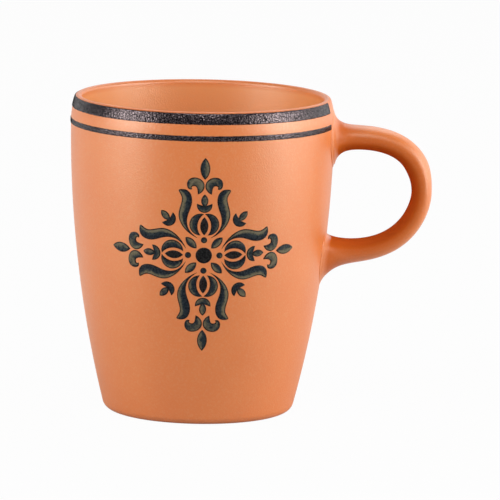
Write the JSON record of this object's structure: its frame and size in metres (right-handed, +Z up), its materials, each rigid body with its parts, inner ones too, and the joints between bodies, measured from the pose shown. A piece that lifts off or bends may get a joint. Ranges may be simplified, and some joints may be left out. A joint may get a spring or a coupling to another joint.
{
  "type": "coffee cup",
  "caption": "Tall tapered terracotta coffee cup with a loop handle, dark enamel bands under the lip and a floral enamel medallion on the front.",
  "frame": {"origin": "centre of the foot ring on the table, on the axis of the body", "axes": "+Z up along the axis of the body, +X towards the handle, -Y towards the medallion"},
  "size_m": [0.1172, 0.0854, 0.1024],
  "materials": {
    "terracotta_clay": "soft satin glaze on terracotta",
    "dark_enamel": "dark granular enamel, satin"
  },
  "bodies": {
    "root": {"cup_body": "terracotta_clay", "handle": "terracotta_clay", "rim_band": "dark_enamel", "lower_band": "dark_enamel", "medallion_centre": "dark_enamel", "medallion_beads": "dark_enamel", "centre_leaves": "dark_enamel", "tulip_seeds": "dark_enamel", "inner_petals": "dark_enamel", "outer_petals": "dark_enamel", "buds": "dark_enamel", "hooks": "dark_enamel", "tip_leaves": "dark_enamel"}
  },
  "joints": []
}
